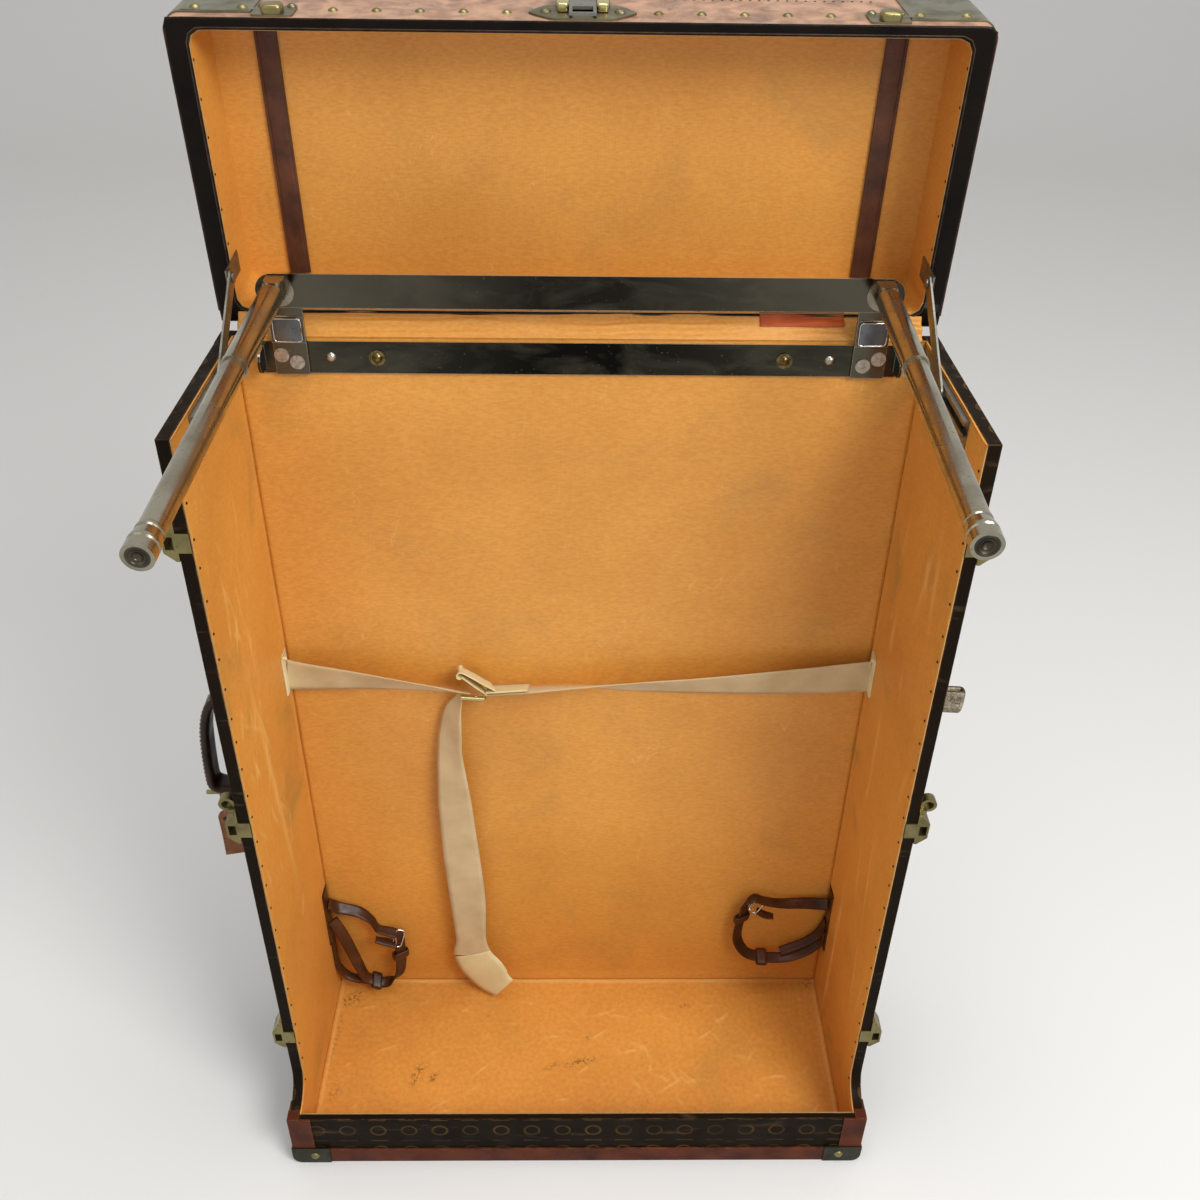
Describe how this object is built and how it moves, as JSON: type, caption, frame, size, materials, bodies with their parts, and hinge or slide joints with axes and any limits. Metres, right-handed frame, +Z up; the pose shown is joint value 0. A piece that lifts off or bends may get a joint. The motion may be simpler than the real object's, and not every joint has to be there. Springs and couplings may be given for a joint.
{
  "type": "wardrobe trunk",
  "caption": "Upright travelling wardrobe trunk with an open front, a top lid held back by stays, and telescopic hanging arms on a metal rail.",
  "frame": {"origin": "middle of the trunk's underside, midway between its sides and between its front lip and back", "axes": "+X towards the right side seen from the front, +Y from the open front to the back, +Z up"},
  "size_m": [0.654, 0.4227, 1.0232],
  "materials": {
    "worn_canvas": "dark brown-black coated canvas, scuffed and worn on its edges",
    "orange_lining": "orange-gold coated cotton with a fine weave, creased and stained",
    "red_leather": "red-brown leather edging, rubbed dark",
    "brown_leather": "stitched brown leather, polished by use",
    "dull_steel": "grey steel, dulled and spotted with age",
    "aged_brass": "aged brass, brown in the hollows",
    "bright_chrome": "nickel-plated steel, bright with fine scratches",
    "cotton_web": "grey-beige cotton webbing"
  },
  "bodies": {
    "trunk": {"left_side_panel": "worn_canvas", "right_side_panel": "worn_canvas", "back_panel": "worn_canvas", "base_panel": "worn_canvas", "front_lip": "worn_canvas", "side_linings": "orange_lining", "back_lining": "orange_lining", "floor_lining": "orange_lining", "base_trims": "red_leather", "base_corner_caps": "dull_steel", "edge_trims": "red_leather", "trunk_nails": "aged_brass", "left_keepers": "aged_brass", "right_keepers": "aged_brass", "hinge_trunk_leaves": "aged_brass", "hinge_pins": "dull_steel", "lower_rail_bar": "bright_chrome", "rail_uprights": "bright_chrome", "upper_rail_bar": "bright_chrome", "rail_fasteners": "bright_chrome", "arm_clevises": "bright_chrome", "stay_tracks": "dull_steel", "left_handle_mounts": "aged_brass", "right_strap_tab": "brown_leather", "right_tab_plate": "aged_brass", "web_strap_left": "cotton_web", "web_strap_right": "cotton_web", "web_tail": "cotton_web", "strap_buckles": "aged_brass", "strap_anchors": "cotton_web", "boot_strap_left": "brown_leather", "boot_strap_right": "brown_leather"},
    "lid": {"lid_top_panel": "worn_canvas", "lid_front_wall": "worn_canvas", "lid_back_wall": "worn_canvas", "lid_side_walls": "worn_canvas", "lid_lining": "orange_lining", "lid_battens": "brown_leather", "lid_trims": "red_leather", "lid_corner_caps": "dull_steel", "lock_plate": "aged_brass", "lid_catches": "dull_steel", "lid_nails": "aged_brass", "hinge_lid_leaves": "aged_brass", "stay_brackets": "dull_steel"},
    "hasp": {"hasp": "aged_brass"},
    "stay_arm_left": {"stay_arm_left": "dull_steel"},
    "stay_arm_right": {"stay_arm_right": "dull_steel"},
    "stay_slider_left": {"stay_slider_left": "dull_steel"},
    "stay_slider_right": {"stay_slider_right": "dull_steel"},
    "arm_tube_left": {"arm_tube_left": "bright_chrome"},
    "arm_tube_right": {"arm_tube_right": "bright_chrome"},
    "arm_extension_left": {"arm_extension_left": "bright_chrome"},
    "arm_extension_right": {"arm_extension_right": "bright_chrome"},
    "left_handle": {"left_handle_grip": "brown_leather", "left_handle_ends": "aged_brass"},
    "luggage_tag": {"luggage_tag": "brown_leather"},
    "keeper_lever_left": {"keeper_lever_left": "aged_brass"},
    "keeper_lever_right": {"keeper_lever_right": "aged_brass"}
  },
  "joints": [
    {"name": "lid_hinge", "type": "hinge", "parent": "trunk", "child": "lid", "pos_m": [0, 0.11425, 0.787], "axis": [1, 0, 0], "range_deg": [0, 85.5]},
    {"name": "hasp_swing", "type": "hinge", "parent": "lid", "child": "hasp", "pos_m": [0, 0.13611, 1.01913], "axis": [-1, 0, 0], "range_deg": [0, 150]},
    {"name": "stay_arm_left_turn", "type": "hinge", "parent": "lid", "child": "stay_arm_left", "pos_m": [-0.26325, 0.10067, 0.83207], "axis": [1, 0, 0], "range_deg": [-121.86, 0]},
    {"name": "stay_slider_left_slide", "type": "slide", "parent": "trunk", "child": "stay_slider_left", "axis": [0, -1, 0], "range_m": [0, 0.0505]},
    {"name": "stay_arm_right_turn", "type": "hinge", "parent": "lid", "child": "stay_arm_right", "pos_m": [0.26325, 0.10067, 0.83207], "axis": [1, 0, 0], "range_deg": [-121.86, 0]},
    {"name": "stay_slider_right_slide", "type": "slide", "parent": "trunk", "child": "stay_slider_right", "axis": [0, -1, 0], "range_m": [0, 0.0505]},
    {"name": "arm_left_swing", "type": "hinge", "parent": "trunk", "child": "arm_tube_left", "pos_m": [-0.2275, 0.08075, 0.8303], "axis": [0, 0, 1], "range_deg": [0, 77.2]},
    {"name": "arm_left_slide", "type": "slide", "parent": "arm_tube_left", "child": "arm_extension_left", "axis": [0.0373, 0.9949, 0.0941], "range_m": [0, 0.0941]},
    {"name": "arm_right_swing", "type": "hinge", "parent": "trunk", "child": "arm_tube_right", "pos_m": [0.2275, 0.08075, 0.8303], "axis": [0, 0, 1], "range_deg": [-73.7, 0]},
    {"name": "arm_right_slide", "type": "slide", "parent": "arm_tube_right", "child": "arm_extension_right", "axis": [0.0235, 0.9979, 0.061], "range_m": [0, 0.0941]},
    {"name": "left_handle_swing", "type": "hinge", "parent": "trunk", "child": "left_handle", "pos_m": [-0.292, 0, 0.459], "axis": [0, 0, 1], "range_deg": [-70, 70]},
    {"name": "tag_swing", "type": "hinge", "parent": "trunk", "child": "luggage_tag", "pos_m": [-0.3145, 0, 0.3988], "axis": [1, 0, 0], "range_deg": [-60, 60]},
    {"name": "keeper_lever_left_swing", "type": "hinge", "parent": "trunk", "child": "keeper_lever_left", "pos_m": [-0.284, -0.06575, 0.446], "axis": [0, -1, 0], "range_deg": [-4, 50]},
    {"name": "keeper_lever_right_swing", "type": "hinge", "parent": "trunk", "child": "keeper_lever_right", "pos_m": [0.284, -0.06575, 0.446], "axis": [0, 1, 0], "range_deg": [-4, 50]}
  ],
  "couplings": [
    {"joint": "stay_arm_left_turn", "follows": "lid_hinge", "ratio": -1.4247},
    {"joint": "stay_slider_left_slide", "follows": "lid_hinge", "m_per_rad": 0.03383},
    {"joint": "arm_left_swing", "follows": "lid_hinge", "ratio": 0.90234},
    {"joint": "arm_left_slide", "follows": "lid_hinge", "m_per_rad": 0.062992},
    {"joint": "stay_arm_right_turn", "follows": "lid_hinge", "ratio": -1.4247},
    {"joint": "stay_slider_right_slide", "follows": "lid_hinge", "m_per_rad": 0.03383},
    {"joint": "arm_right_swing", "follows": "lid_hinge", "ratio": -0.8614},
    {"joint": "arm_right_slide", "follows": "lid_hinge", "m_per_rad": 0.062992}
  ]
}
